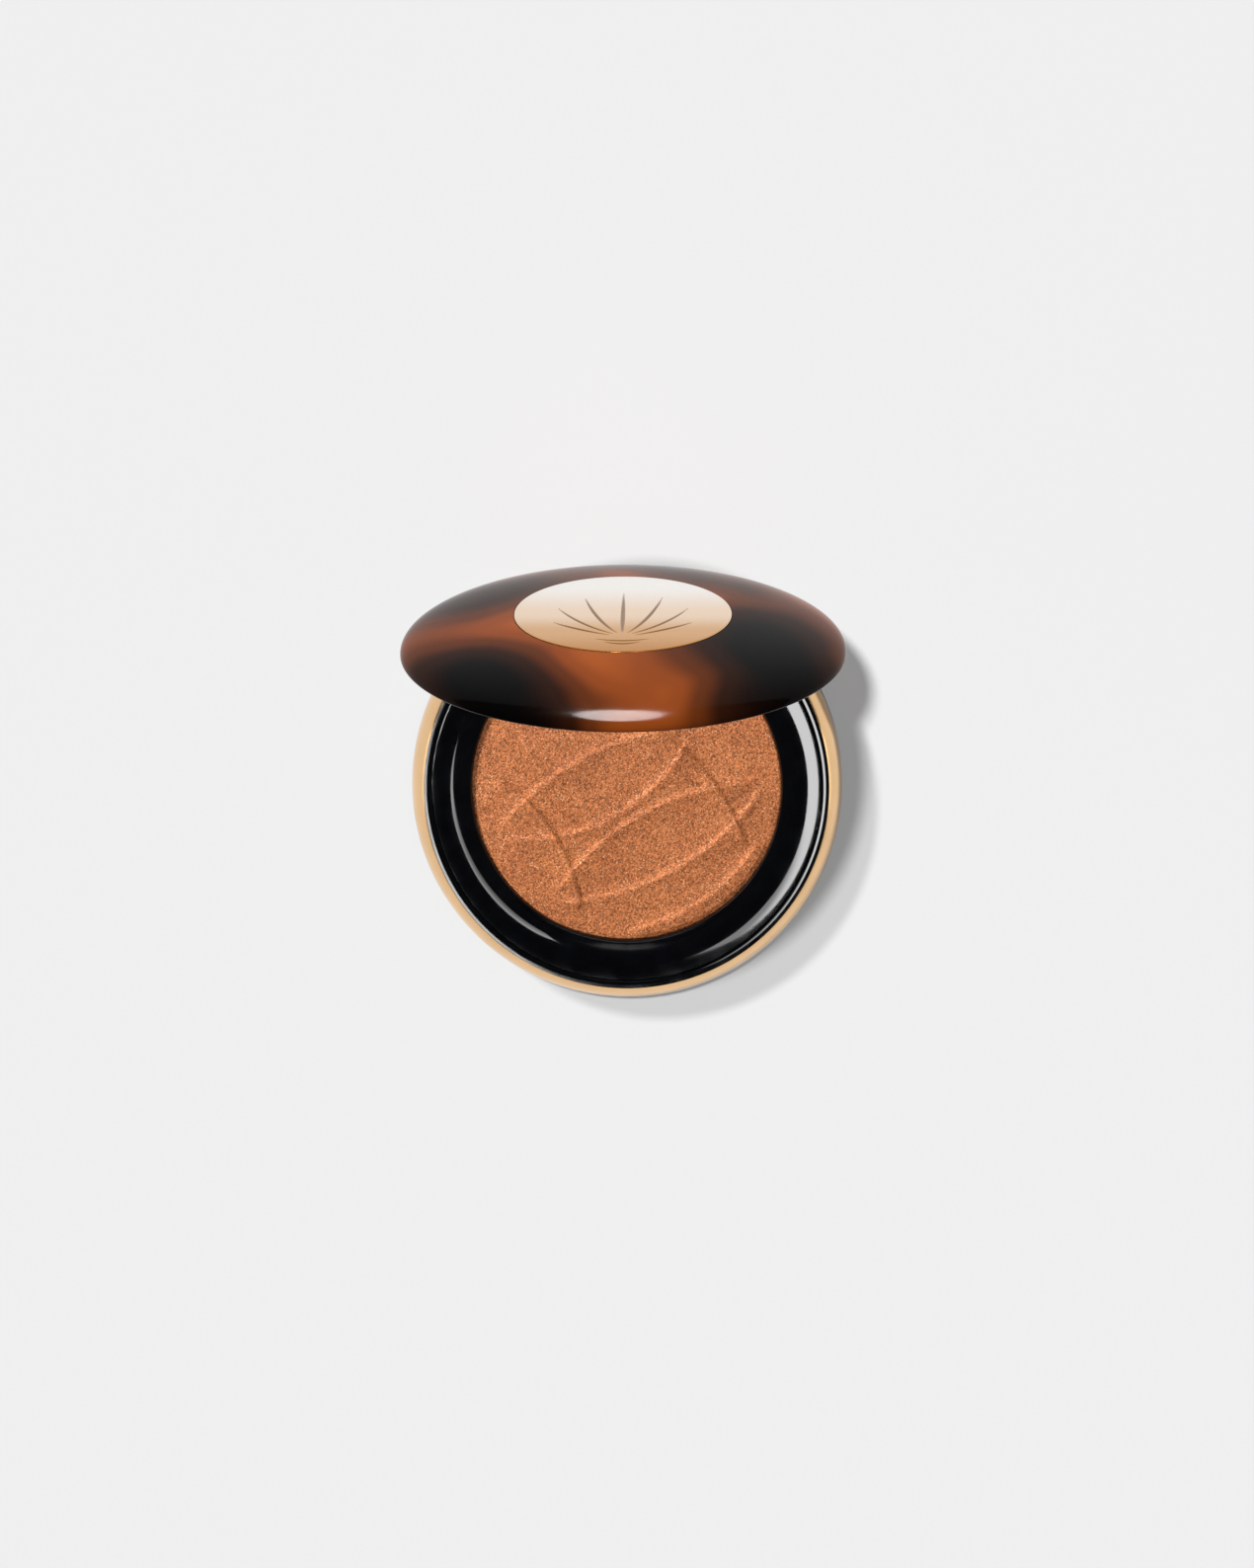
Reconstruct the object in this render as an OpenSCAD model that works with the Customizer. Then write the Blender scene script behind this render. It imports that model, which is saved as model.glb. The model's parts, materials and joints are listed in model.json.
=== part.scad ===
// Round powder compact: a base with a metal rim band, a ring tray that clamps a pan of
// pressed powder, and a domed lid with a medallion and a mirror, on a friction hinge.
// Z is up. The origin is the centre of the flat underside, and the hinge is at +Y.

/* [Case] */
// Outer diameter of the base and the lid
case_d = 78; // [64:1:100]
// Height of the base's rim above the table
base_h = 9.5; // [8:0.1:12]
// Thickness of the base's floor
floor_t = 1.6; // [1.2:0.1:2]
// Distance from the case's edge to the edge of the flat foot
foot_inset = 6.5; // [4:0.5:8]
// Diameter of the label in the underside
label_d = 48; // [20:1:52]
// Thickness of the label
label_t = 0.2; // [0.1:0.05:0.3]

/* [Rim band] */
// Radial width of the rim band
band_w = 2.5; // [2:0.1:3.5]
// Height of the rim band
band_h = 6.5; // [5:0.1:7]
// Depth of the band's top edge below the rim
band_recess = 0.15; // [0.05:0.05:0.3]
// Flat at the band's top edge
band_flat = 0.1; // [0.05:0.05:0.3]
// Sweep of the band's rounded face, from its widest level to its top edge
band_sweep = 58; // [45:1:75]

/* [Outer lip and tray frame] */
// Width of the base's black outer lip
lip_w = 1.3; // [1.1:0.1:2]
// Height of the lip's rounded top
lip_round = 0.15; // [0.1:0.05:0.5]
// Groove between the outer lip and the tray frame
tray_gap = 0.15; // [0.1:0.05:0.3]
// Width of the tray frame, from the groove to the powder
tray_w = 7.1; // [6.8:0.1:8]
// Width of the tray frame's rounded shoulder
shoulder_w = 6.75; // [5:0.05:7.5]
// Fall of the shoulder towards the powder
shoulder_drop = 2.1; // [1.5:0.1:2.6]
// Depth of the tray frame's crest below the rim
tray_recess = 0.05; // [0:0.05:0.2]
// Radius of the tray frame's outer edge
tray_edge_r = 0.35; // [0.2:0.05:0.5]
// Thickness of the tray frame's skirt and its inner wall
tray_wall = 1.15; // [0.9:0.05:1.3]
// Thickness of the tray frame over its channel
tray_top_t = 1.7; // [1.5:0.1:2]
// Thickness of the edge that holds the pan down
tray_lip_t = 0.7; // [0.5:0.1:1]

/* [Powder pan] */
// Overlap of the tray frame over the pan's rim
pan_overlap = 1.05; // [0.8:0.05:1.3]
// Thickness of the pan's sheet
pan_t = 0.4; // [0.3:0.05:0.6]
// Depth of the powder's edge below the tray frame's edge
powder_recess = 0.35; // [0.1:0.05:0.6]
// Rise of the powder's face from its edge to its middle
powder_crown = 0.3; // [0.1:0.1:0.6]
// Thickness of the ballast plate
plate_t = 1.2; // [0.8:0.1:1.6]
// Height of the ring that centres the plate and the pan
locator_h = 2.4; // [1.5:0.1:3]

/* [Lid] */
// Opening angle at which the lid stands
lid_open_angle = 76.5; // [0:0.5:126]
// Height of the full dome over the lid's widest level
dome_h = 7.8; // [6.5:0.1:10]
// Thickness of the lid's wall
lid_wall = 1.8; // [1.5:0.1:2]
// Drop of the lid's rounded lower edge below its widest level
lid_drop = 0.6; // [0.4:0.1:0.9]
// Width of that rounding
lid_drop_w = 1.6; // [1.2:0.1:2]
// Gap between the closed lid's lower edge and the base's rim
lid_gap = 0.35; // [0.3:0.05:0.5]
// Width of the lid's flat lower edge, inside the rounding
lid_edge_w = 1; // [0.8:0.1:1.4]

/* [Medallion] */
// Diameter of the medallion
medal_d = 38; // [28:0.5:42]
// Thickness of the medallion
medal_t = 0.9; // [0.6:0.1:1.2]
// Height of the medallion's face above the dome at its edge
medal_stand = 0.17; // [0.05:0.01:0.4]
// Radius of the medallion's edge
medal_edge_r = 0.2; // [0.1:0.05:0.4]
// Thickness of the lid under the medallion
medal_floor_t = 1.1; // [0.8:0.1:1.4]

/* [Lid frame and mirror] */
// Width of the frame round the mirror
bezel_w = 6.95; // [6.5:0.05:8]
// Thickness of the mirror
mirror_t = 1.5; // [1:0.1:1.6]
// Depth of the mirror's face inside the frame
mirror_recess = 0.1; // [0.05:0.05:0.2]
// Depth of the frame's face inside the lid's lower edge
frame_recess = 0.1; // [0:0.05:0.2]
// Thickness of the frame behind the mirror
frame_t = 1; // [0.8:0.1:1.2]
// Height of the frame's thin outer rim
frame_rim_h = 1.5; // [1.2:0.1:1.6]
// Width of that rim
frame_rim_w = 2.2; // [2:0.1:2.6]
// Bevel at the frame's outer edge
frame_bevel = 0.3; // [0.1:0.05:0.4]

/* [Hinge] */
// Distance of the hinge axis inside the case's edge
hinge_inset = 1; // [0.8:0.1:1.2]
// Height of the hinge axis above the rim
hinge_rise = 0.45; // [0.4:0.05:0.6]
// Diameter of the knuckles
knuckle_d = 2.7; // [2.5:0.1:2.8]
// Width of the lid's centre knuckle
knuckle_w = 8; // [6:0.5:10]
// Width of each of the base's two ears
ear_w = 4; // [3:0.5:5]
// Side gap between the centre knuckle and each ear
knuckle_gap = 0.2; // [0.1:0.05:0.3]
// Distance of the ears' back face behind the axis, where the fully open lid stops
ear_back = 0.9; // [0.8:0.05:1]
// Depth of the rim band's notch for the hinge
notch_depth = 2.4; // [1.8:0.1:3]
// Diameter of the hinge pin
pin_d = 1.2; // [1:0.1:1.4]
// Outer diameter of the friction bushes
bush_d = 1.9; // [1.7:0.1:2]
// Length of each friction bush
bush_l = 3.5; // [2:0.1:3.9]
// Distance of the lid's trimmed back edge behind the axis
lid_trim = 0.45; // [0.3:0.05:0.6]

/* [Magnets] */
// Diameter of the closing magnets
magnet_d = 3; // [2:0.1:3.2]
// Thickness of the closing magnets
magnet_t = 1.5; // [1:0.1:1.6]
// Angle of each magnet from the front
magnet_angle = 14; // [8:1:30]
// Plastic left over each magnet
magnet_skin = 0.8; // [0.6:0.1:1]

/* [Fits and clearances] */
// Radial running clearance of the pin in the friction bushes
pin_clearance = 0.02; // [0.01:0.01:0.05]
// Clearance round parts that drop into a seat
seat_clearance = 0.1; // [0.05:0.05:0.2]
// Clearance round the turning knuckles
swing_clearance = 0.25; // [0.2:0.05:0.4]
// Thickness of each adhesive layer
adhesive_t = 0.15; // [0.1:0.05:0.2]
// Distance of each adhesive layer's edge inside the part that it holds
adhesive_inset = 2; // [1:0.5:4]

/* [Hidden] */
$fn = 120;
// Steps in each quarter of a profile's arc
arc_steps = 10;
// Steps in the dome's profile
dome_steps = 28;
// Extra length that takes a cut past the face it opens
cut = 1;

// Base, from the edge inwards
case_r = case_d / 2;
foot_r = case_r - foot_inset;
band_bottom = base_h - band_h;
band_in_r = case_r - band_w;
band_face_rr = (band_w - band_flat) / (1 - cos(band_sweep));
band_face_rz = (band_h - band_recess) / sin(band_sweep);
lip_in_r = band_in_r - lip_w;
tray_r = lip_in_r - tray_gap;
powder_r = tray_r - tray_w;
pan_r = powder_r + pan_overlap;

// Tray frame, from the top down
crest_z = base_h - tray_recess;
crest_w = min(shoulder_w, tray_w - tray_edge_r);
edge_z = crest_z - shoulder_drop;
clamp_z = edge_z - tray_lip_t;
channel_z = base_h - tray_top_t;
channel_out_r = tray_r - tray_wall;
pan_seat_r = pan_r + seat_clearance;
channel_in_r = pan_seat_r + tray_wall;

// Base, from the floor up
plate_top = floor_t + plate_t;
pan_z = plate_top + adhesive_t;
pan_top = clamp_z - seat_clearance;
locator_top = floor_t + locator_h;
powder_edge_z = edge_z - powder_recess;
powder_side_r = powder_r - tray_gap;

// Hinge
hinge_y = case_r - hinge_inset;
hinge_z = base_h + hinge_rise;
knuckle_r = knuckle_d / 2;
ear_in = knuckle_w / 2 + knuckle_gap;
ear_out = ear_in + ear_w;
notch_half = ear_out + swing_clearance;
notch_z = base_h - notch_depth;
pin_r = pin_d / 2;
bush_r = bush_d / 2;

// Lid, in its own frame: z is 0 at the widest level, and z rises towards the dome's top
lid_rise = lid_gap + lid_drop - hinge_rise;
lid_in_r = case_r - lid_wall;
lid_seat_r = case_r - lid_drop_w - lid_edge_w;
medal_r = medal_d / 2;
medal_z = dome_z(medal_r) + medal_stand;
medal_seat_z = medal_z - medal_t - adhesive_t;
ceiling_z = medal_seat_z - medal_floor_t;
lid_in_h = dome_h - lid_wall;
frame_r = lid_seat_r - seat_clearance;
frame_z = -lid_drop + frame_recess;
mirror_seat_r = frame_r - bezel_w;
mirror_r = mirror_seat_r - seat_clearance;
mirror_z = frame_z + mirror_recess;
mirror_seat_z = mirror_z + mirror_t + adhesive_t;
frame_top = mirror_seat_z + frame_t;
frame_rim_top = frame_z + frame_rim_h;
frame_step_r = frame_r - frame_rim_w;
frame_top_r = min(frame_step_r - frame_t, vault_r(frame_top + seat_clearance) - seat_clearance);

// Magnets, which face each other in the closed case
magnet_r = magnet_d / 2;
magnet_ring_r = (channel_in_r + channel_out_r) / 2;
base_magnet_z = shoulder_z(magnet_ring_r) - magnet_skin - magnet_t;
lid_magnet_z = frame_z + magnet_skin;

// Height of the outer dome at radius r, and radius of the inner vault at height z
function dome_z(r) = dome_h * sqrt(1 - pow(r / case_r, 2));
function vault_r(z) = lid_in_r * sqrt(1 - pow(z / lid_in_h, 2));

// Height of the tray frame's shoulder at radius r
function shoulder_z(r) =
    edge_z + shoulder_drop * sqrt(1 - pow(max(0, powder_r + crest_w - r) / crest_w, 2));

// Points of an elliptical arc about (r, z), from angle a0 to angle a1
function arc(r, z, rr, rz, a0, a1, steps = arc_steps) =
    [for (i = [0:steps]) let (a = a0 + (a1 - a0) * i / steps) [r + rr * cos(a), z + rz * sin(a)]];

// A solid of revolution about Z from an outline of [radius, height] points
module turned(outline) {
    rotate_extrude() polygon(outline);
}

// A disc or plain plate of radius r between two heights
module disc(r, z0, z1) {
    translate([0, 0, z0]) cylinder(r = r, h = z1 - z0);
}

// A round bar along the hinge axis, between two places along X
module hinge_bar(r, x0, x1, y, z) {
    translate([x0, y, z]) rotate([0, 90, 0]) cylinder(r = r, h = x1 - x0);
}

// Places the lid's own frame on the hinge at the opening angle
module on_hinge() {
    translate([0, hinge_y, hinge_z])
        rotate([-lid_open_angle, 0, 0])
            translate([0, -hinge_y, lid_rise]) children();
}

// Places a part at one of the two magnet stations; side is -1 for left and 1 for right
module at_magnet(side) {
    rotate([0, 0, side * magnet_angle]) translate([0, -magnet_ring_r, 0]) children();
}

// One of the base's two ears, with its part of the barrel
module ear(side) {
    x0 = side > 0 ? ear_in : -ear_out;
    root_y = lip_in_r + tray_gap;
    translate([x0, root_y, notch_z + seat_clearance])
        cube([ear_w, hinge_y + ear_back - root_y, base_h - notch_z - seat_clearance]);
    hinge_bar(knuckle_r, x0, x0 + ear_w, hinge_y, hinge_z);
}

module base_shell() {
    bowl = arc(foot_r, band_bottom, foot_inset, band_bottom, -90, 0);
    lip = arc(band_in_r - lip_w / 2, base_h - lip_round, lip_w / 2, lip_round, 0, 180);
    color("#0b0c0f") difference() {
        union() {
            turned(concat([[0, 0]], bowl, [[band_in_r, band_bottom]], lip,
                [[lip_in_r, floor_t], [0, floor_t]]));
            difference() {
                disc(channel_in_r, floor_t - seat_clearance, locator_top);
                disc(pan_seat_r, floor_t - cut, locator_top + cut);
            }
            ear(-1);
            ear(1);
        }
        disc(label_d / 2 + seat_clearance, -cut, label_t);
        hinge_bar(pin_r, -ear_out - cut, ear_out + cut, hinge_y, hinge_z);
    }
}

module rim_band() {
    face = arc(case_r - band_face_rr, band_bottom, band_face_rr, band_face_rz, 0, band_sweep);
    color("#e6bd8e") difference() {
        turned(concat([[band_in_r, band_bottom]], face, [[band_in_r, base_h - band_recess]]));
        translate([-notch_half, 0, notch_z]) cube([2 * notch_half, case_d, base_h]);
    }
}

module tray_frame() {
    shoulder = arc(powder_r + crest_w, edge_z, crest_w, shoulder_drop, 180, 90);
    outer_edge = arc(tray_r - tray_edge_r, crest_z - tray_edge_r, tray_edge_r, tray_edge_r, 90, 0);
    color("#08090c") difference() {
        union() {
            turned(concat([[powder_r, clamp_z]], shoulder, outer_edge,
                [[tray_r, floor_t], [channel_out_r, floor_t], [channel_out_r, channel_z],
                [channel_in_r, channel_z], [channel_in_r, locator_top + seat_clearance],
                [pan_seat_r, locator_top + seat_clearance], [pan_seat_r, clamp_z]]));
            for (side = [-1, 1])
                at_magnet(side) disc(magnet_r + tray_wall / 2, base_magnet_z, channel_z + seat_clearance);
        }
        for (side = [-1, 1])
            at_magnet(side)
                disc(magnet_r + seat_clearance / 2, base_magnet_z - cut, base_magnet_z + magnet_t);
    }
}

module weight_plate() {
    color("#8d9094") disc(pan_r, floor_t, plate_top);
}

module pan_adhesive() {
    color("#e9e6dc") disc(pan_r - adhesive_inset, plate_top, pan_z);
}

module powder_pan() {
    color("#c3c6ca") difference() {
        disc(pan_r, pan_z, pan_top);
        disc(pan_r - pan_t, pan_z + pan_t, pan_top + cut);
    }
}

module powder_cake() {
    face = arc(0, powder_edge_z, powder_side_r, powder_crown, 0, 90);
    fill_r = pan_r - pan_t;
    color("#cf8552") turned(concat([[0, pan_z + pan_t], [fill_r, pan_z + pan_t],
        [fill_r, pan_top - seat_clearance], [powder_side_r, pan_top - seat_clearance]], face));
}

module base_magnet(side) {
    color("#a9acb1") at_magnet(side) disc(magnet_r, base_magnet_z, base_magnet_z + magnet_t);
}

module hinge_pin() {
    end = ear_out - knuckle_gap;
    color("#b9bcc1") hinge_bar(pin_r, -end, end, hinge_y, hinge_z);
}

module base_label() {
    color("#1a1a1d") disc(label_d / 2, 0, label_t);
}

module lid_shell() {
    dome = arc(0, 0, case_r, dome_h, 0, 90, dome_steps);
    lower_edge = arc(case_r - lid_drop_w, 0, lid_drop_w, lid_drop, -90, 0);
    vault_end = asin(ceiling_z / lid_in_h);
    vault = arc(0, 0, lid_in_r, lid_in_h, vault_end, acos(lid_seat_r / lid_in_r));
    swing_r = knuckle_r + swing_clearance;
    arm_half = knuckle_w / 2 + knuckle_gap;
    color("#5a2f18") on_hinge() difference() {
        turned(concat(lower_edge, dome, [[0, ceiling_z]], vault, [[lid_seat_r, -lid_drop]]));
        disc(medal_r + seat_clearance, medal_seat_z, dome_h + cut);
        hinge_bar(swing_r, -notch_half, notch_half, hinge_y, -lid_rise);
        translate([-notch_half, hinge_y + lid_trim, -cut]) cube([2 * notch_half, case_d, dome_h]);
        translate([-arm_half, lip_in_r, -lid_drop - cut])
            cube([2 * arm_half, case_d, lid_drop + cut - lid_rise + knuckle_r + seat_clearance]);
    }
}

module medallion() {
    rim = arc(medal_r - medal_edge_r, medal_z - medal_edge_r, medal_edge_r, medal_edge_r, 0, 90);
    bottom = medal_z - medal_t;
    color("#e2b98c") on_hinge() turned(concat([[0, bottom], [medal_r, bottom]], rim, [[0, medal_z]]));
}

module medallion_adhesive() {
    color("#e9e6dc") on_hinge() disc(medal_r - adhesive_inset, medal_seat_z, medal_z - medal_t);
}

module lid_frame() {
    arm_root = lip_in_r;
    arm_bottom = -lid_drop + swing_clearance;
    arm_top = knuckle_r - lid_rise;
    half = knuckle_w / 2;
    color("#0b0c0f") on_hinge() difference() {
        union() {
            turned([[mirror_seat_r, frame_z], [frame_r - frame_bevel, frame_z],
                [frame_r, frame_z + frame_bevel], [frame_r, frame_rim_top],
                [frame_step_r, frame_rim_top], [frame_top_r, frame_top],
                [0, frame_top], [0, mirror_seat_z], [mirror_seat_r, mirror_seat_z]]);
            translate([-half, arm_root, arm_bottom])
                cube([knuckle_w, hinge_y - arm_root, arm_top - arm_bottom]);
            hinge_bar(knuckle_r, -half, half, hinge_y, -lid_rise);
        }
        hinge_bar(bush_r, -half - cut, half + cut, hinge_y, -lid_rise);
        for (side = [-1, 1])
            at_magnet(side) disc(magnet_r + seat_clearance / 2, lid_magnet_z, frame_top + cut);
    }
}

module mirror() {
    color("#cfd6dc") on_hinge() disc(mirror_r, mirror_z, mirror_z + mirror_t);
}

module mirror_adhesive() {
    color("#e9e6dc") on_hinge() disc(mirror_r - adhesive_inset, mirror_z + mirror_t, mirror_seat_z);
}

module lid_magnet(side) {
    color("#a9acb1") on_hinge() at_magnet(side) disc(magnet_r, lid_magnet_z, lid_magnet_z + magnet_t);
}

// Friction bush in the centre knuckle; side is -1 for left and 1 for right
module hinge_bush(side) {
    end = side * knuckle_w / 2;
    x0 = min(end, end - side * bush_l);
    color("#efece2") on_hinge() difference() {
        hinge_bar(bush_r, x0, x0 + bush_l, hinge_y, -lid_rise);
        hinge_bar(pin_r + pin_clearance, x0 - cut, x0 + bush_l + cut, hinge_y, -lid_rise);
    }
}

base_shell();
rim_band();
tray_frame();
weight_plate();
pan_adhesive();
powder_pan();
powder_cake();
base_magnet(-1);  // base_magnet_left
base_magnet(1);  // base_magnet_right
hinge_pin();
base_label();
lid_shell();
medallion();
medallion_adhesive();
lid_frame();
mirror();
mirror_adhesive();
lid_magnet(-1);  // lid_magnet_left
lid_magnet(1);  // lid_magnet_right
hinge_bush(-1);  // hinge_bush_left
hinge_bush(1);  // hinge_bush_right
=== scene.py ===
# %% [markdown]
# # A round powder compact, dressed in Blender
# The shape and the hinge of this compact were designed elsewhere and packed. This lesson loads that
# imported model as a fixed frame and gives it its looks: smooth turned surfaces, a polished medallion, a
# tortoiseshell lid and pressed powder that shimmers.
#
# Every number below is in millimetres until the last moment, because that is how a compact is drawn.
# Blender works in metres, so one value turns the first into the second.

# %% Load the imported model
import json
import math

import bmesh
import bpy
import numpy as np
from mathutils import Matrix, Vector

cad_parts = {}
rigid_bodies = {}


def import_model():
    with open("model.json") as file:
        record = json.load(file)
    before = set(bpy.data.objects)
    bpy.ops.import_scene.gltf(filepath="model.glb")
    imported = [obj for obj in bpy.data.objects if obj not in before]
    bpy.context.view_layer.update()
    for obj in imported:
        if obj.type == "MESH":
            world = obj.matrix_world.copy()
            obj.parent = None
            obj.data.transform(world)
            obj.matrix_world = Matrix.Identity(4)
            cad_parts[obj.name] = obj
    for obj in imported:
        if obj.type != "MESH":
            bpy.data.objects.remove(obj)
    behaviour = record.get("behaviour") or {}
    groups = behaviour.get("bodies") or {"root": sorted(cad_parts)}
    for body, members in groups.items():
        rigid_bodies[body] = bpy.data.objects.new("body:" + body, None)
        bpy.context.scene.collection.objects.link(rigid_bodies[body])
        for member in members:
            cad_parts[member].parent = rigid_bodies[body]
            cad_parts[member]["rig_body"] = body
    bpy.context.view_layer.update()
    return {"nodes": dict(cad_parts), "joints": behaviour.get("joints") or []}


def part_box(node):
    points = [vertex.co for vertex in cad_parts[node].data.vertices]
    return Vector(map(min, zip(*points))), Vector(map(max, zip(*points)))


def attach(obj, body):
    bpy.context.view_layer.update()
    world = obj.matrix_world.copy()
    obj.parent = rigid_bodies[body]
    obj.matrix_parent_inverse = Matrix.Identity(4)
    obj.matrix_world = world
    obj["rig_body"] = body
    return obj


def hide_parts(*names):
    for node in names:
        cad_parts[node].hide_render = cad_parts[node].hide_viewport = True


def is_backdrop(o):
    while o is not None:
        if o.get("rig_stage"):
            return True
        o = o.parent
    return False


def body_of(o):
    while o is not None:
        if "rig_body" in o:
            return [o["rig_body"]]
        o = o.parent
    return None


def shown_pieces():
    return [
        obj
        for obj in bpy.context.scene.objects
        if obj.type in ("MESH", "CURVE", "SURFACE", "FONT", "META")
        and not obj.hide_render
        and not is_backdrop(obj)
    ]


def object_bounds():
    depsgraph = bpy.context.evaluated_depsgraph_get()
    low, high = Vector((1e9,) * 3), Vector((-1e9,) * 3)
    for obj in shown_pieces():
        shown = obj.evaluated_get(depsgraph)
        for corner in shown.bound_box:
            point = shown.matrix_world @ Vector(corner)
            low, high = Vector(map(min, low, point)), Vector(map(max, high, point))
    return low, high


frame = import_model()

MM = 0.001

# %% [markdown]
# ## The sizes that the pieces share
# A compact is a stack of turned parts, so most sizes are radii and heights. They repeat the design's own
# values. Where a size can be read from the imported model, it is, so the two can't drift apart.

# %% Sizes of the case
case_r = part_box("rim_band")[1].x / MM
band_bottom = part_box("rim_band")[0].z / MM
band_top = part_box("rim_band")[1].z / MM
band_in_r = 36.5
base_h = 9.5
lip_in_r = 35.2
floor_t = 1.6
foot_r = 32.5
label_r = 24.1
label_t = 0.2

hinge = frame["joints"][0]
hinge_y = hinge["pos_m"][1] / MM
hinge_z = hinge["pos_m"][2] / MM
open_angle = -hinge["range_deg"][0]
knuckle_r = 1.35
pin_r = 0.6
ear_in = 4.2
ear_out = 8.2
notch_half = 8.45
notch_z = 7.1
print("case radius", round(case_r, 2), "hinge", round(hinge_y, 2), round(hinge_z, 2), "open", open_angle)

# %% [markdown]
# ## Turning on a lathe
# Nearly everything here is round, so it is made as on a lathe: an outline in radius and height is swept
# once round the Z axis. Blender has a Screw modifier and a Spin tool for this. Here the rings of points
# are written straight into a mesh, which gives even four-sided faces and full control of the steps.
#
# Real edges are never perfectly sharp. In an outline, a corner can carry a third number, the radius of
# a small fillet, and the outline is then rounded there before it is swept.

# %% Outlines: arcs and rounded corners
def arc(r, z, rr, rz, a0, a1, steps=24):
    """Points on an elliptical arc about (r, z), from angle a0 to angle a1 in degrees."""
    turn = [math.radians(a0 + (a1 - a0) * i / steps) for i in range(steps + 1)]
    return [(r + rr * math.cos(a), z + rz * math.sin(a)) for a in turn]


def fillet(before, corner, after, radius, steps=5):
    """Points that round one corner of an outline."""
    p, c, q = (np.array(v[:2], float) for v in (before, corner, after))
    u, v = (p - c) / np.linalg.norm(p - c), (q - c) / np.linalg.norm(q - c)
    half = math.acos(max(-1.0, min(1.0, float(u @ v)))) / 2
    middle = c + (u + v) / np.linalg.norm(u + v) * radius / math.sin(half)
    start, end = c + u * radius / math.tan(half) - middle, c + v * radius / math.tan(half) - middle
    sweep = math.pi - 2 * half
    points = []
    for i in range(steps + 1):
        t = i / steps
        a, b = math.sin((1 - t) * sweep) / math.sin(sweep), math.sin(t * sweep) / math.sin(sweep)
        points.append(tuple(middle + start * a + end * b))
    return points


def section(points):
    """A closed outline in which each (r, z, radius) corner has become a fillet."""
    made = []
    for i, p in enumerate(points):
        if len(p) == 3:
            made += fillet(points[i - 1], p, points[(i + 1) % len(points)], p[2])
        else:
            made.append(tuple(p))
    return made


square = [(0, 0), (10, 0, 1.0), (10, 10), (0, 10)]
print("a square with one fillet has", len(section(square)), "points")

# %% The lathe itself
def mesh_piece(name, points, faces):
    """A new object from points in millimetres."""
    mesh = bpy.data.meshes.new(name)
    mesh.from_pydata([tuple(MM * c for c in p) for p in points], [], faces)
    bm = bmesh.new()
    bm.from_mesh(mesh)
    bmesh.ops.recalc_face_normals(bm, faces=bm.faces)
    bm.to_mesh(mesh)
    bm.free()
    piece = bpy.data.objects.new(name, mesh)
    bpy.context.scene.collection.objects.link(piece)
    return piece


def turned(name, outline, steps=360):
    """A solid of revolution about Z from a closed outline."""
    points, rings, faces = [], [], []
    for r, z in outline:
        if r < 1e-6:
            points.append((0, 0, z))
            rings.append([len(points) - 1] * steps)
        else:
            first = len(points)
            for k in range(steps):
                a = 2 * math.pi * k / steps
                points.append((r * math.cos(a), r * math.sin(a), z))
            rings.append(list(range(first, first + steps)))
    for i, ring in enumerate(rings):
        after = rings[(i + 1) % len(rings)]
        for k in range(steps):
            corners = [ring[k], ring[(k + 1) % steps], after[(k + 1) % steps], after[k]]
            face = list(dict.fromkeys(corners))
            if len(face) > 2:
                faces.append(face)
    return mesh_piece(name, points, faces)


print("a turned piece gets 360 steps round, unless it asks for another number")

# %% [markdown]
# ## Cleaning and shading a mesh
# A turned or milled mesh can hold points that nearly coincide, and points that lie on a straight edge
# and do nothing. Both make thin slivers, so they are welded and dissolved. Then the faces are shaded
# smooth, except across edges that bend by more than a set angle, and large flat faces lead the normals,
# so that a flat stays flat right up to its rounded edge.

# %% Cleaning and smooth shading
weld_mm, crumb_mm = 0.003, 0.001
straight_bend = 0.1
sharp_bend = math.radians(20)


def shaded(piece):
    """Smooth shading that breaks at real edges, with flat faces kept flat and no slivers left."""
    mesh = piece.data
    bm = bmesh.new()
    bm.from_mesh(mesh)
    bmesh.ops.remove_doubles(bm, verts=bm.verts, dist=weld_mm * MM)
    bmesh.ops.dissolve_degenerate(bm, edges=bm.edges, dist=crumb_mm * MM)
    on_edges = [v for v in bm.verts if len(v.link_edges) == 2]
    straight = [v for v in on_edges if v.calc_edge_angle(1.0) < straight_bend]
    bmesh.ops.dissolve_verts(bm, verts=straight)
    bm.to_mesh(mesh)
    bm.free()
    mesh.shade_smooth()
    mesh.set_sharp_from_angle(angle=sharp_bend)
    weighted = piece.modifiers.new("flat_faces_lead", "WEIGHTED_NORMAL")
    weighted.keep_sharp = True
    print(piece.name, len(mesh.vertices), "points")
    return piece


print("edges stay crisp where they bend by more than", round(math.degrees(sharp_bend)), "degrees")

# %% [markdown]
# ## Cutting and joining
# The hinge needs a few cuts that a lathe can't make: a notch in the band, a slot in the lid, a hole for
# the pin. A Boolean modifier does what a milling cutter does. The exact solver is used, and its result is
# written into the mesh at once, so that the finished piece is plain geometry.

# %% Milling tools
def mill(piece, tool, operation="DIFFERENCE"):
    """Cuts the tool out of the piece, or joins it on, and removes the tool."""
    step = piece.modifiers.new("mill", "BOOLEAN")
    step.operation, step.solver, step.object = operation, "EXACT", tool
    graph = bpy.context.evaluated_depsgraph_get()
    result = bpy.data.meshes.new_from_object(piece.evaluated_get(graph))
    piece.modifiers.clear()
    old = piece.data
    piece.data = result
    bpy.data.meshes.remove(old)
    bpy.data.objects.remove(tool)
    return piece


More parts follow.
